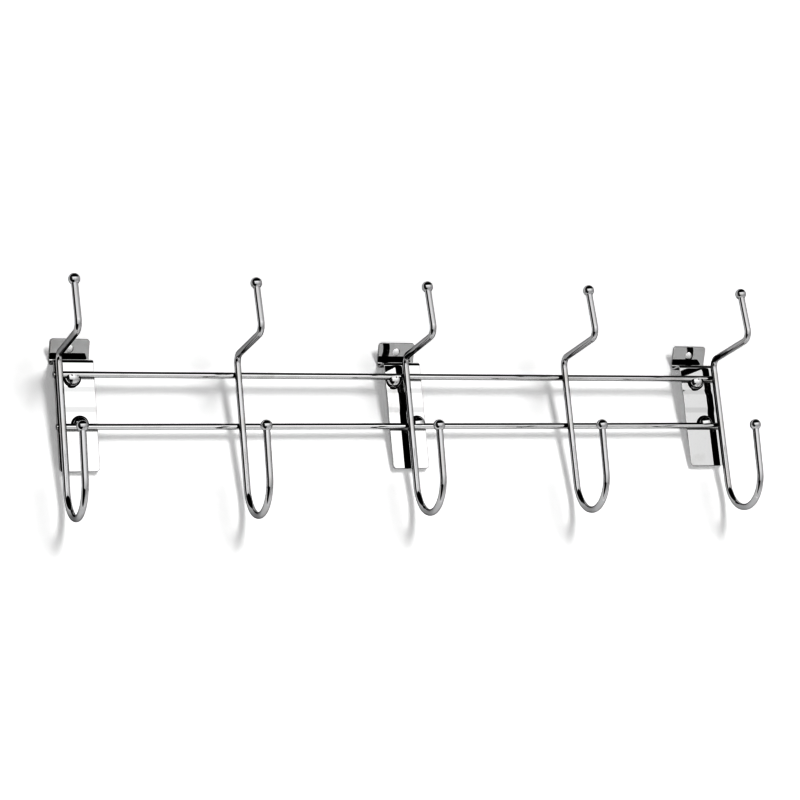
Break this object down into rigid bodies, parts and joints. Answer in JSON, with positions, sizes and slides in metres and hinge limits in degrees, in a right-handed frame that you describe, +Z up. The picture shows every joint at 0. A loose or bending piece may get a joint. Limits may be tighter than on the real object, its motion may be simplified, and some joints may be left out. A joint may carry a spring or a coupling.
{
  "type": "wall hook rack",
  "caption": "Wall hook rack of polished bent-wire double hooks with ball tips, welded across two wire rails on bent sheet brackets with lips and screw holes.",
  "frame": {"origin": "on the middle bracket's centre line, where the plane of the plates' backs meets the plane of the ledges' undersides", "axes": "+X along the rack to the viewer's right, +Y into the wall, +Z up; the hooks reach out towards -Y"},
  "size_m": [0.6094, 0.0893, 0.1907],
  "materials": {
    "wire": "bright chrome plating on steel wire",
    "ball": "bright chrome plating",
    "sheet": "bright chrome plating on pressed steel sheet"
  },
  "bodies": {
    "root": {"upper_rail": "wire", "lower_rail": "wire", "hook_1": "wire", "hook_2": "wire", "hook_3": "wire", "hook_4": "wire", "hook_5": "wire", "upper_ball_1": "ball", "upper_ball_2": "ball", "upper_ball_3": "ball", "upper_ball_4": "ball", "upper_ball_5": "ball", "lower_ball_1": "ball", "lower_ball_2": "ball", "lower_ball_3": "ball", "lower_ball_4": "ball", "lower_ball_5": "ball", "left_bracket": "sheet", "middle_bracket": "sheet", "right_bracket": "sheet"}
  },
  "joints": []
}
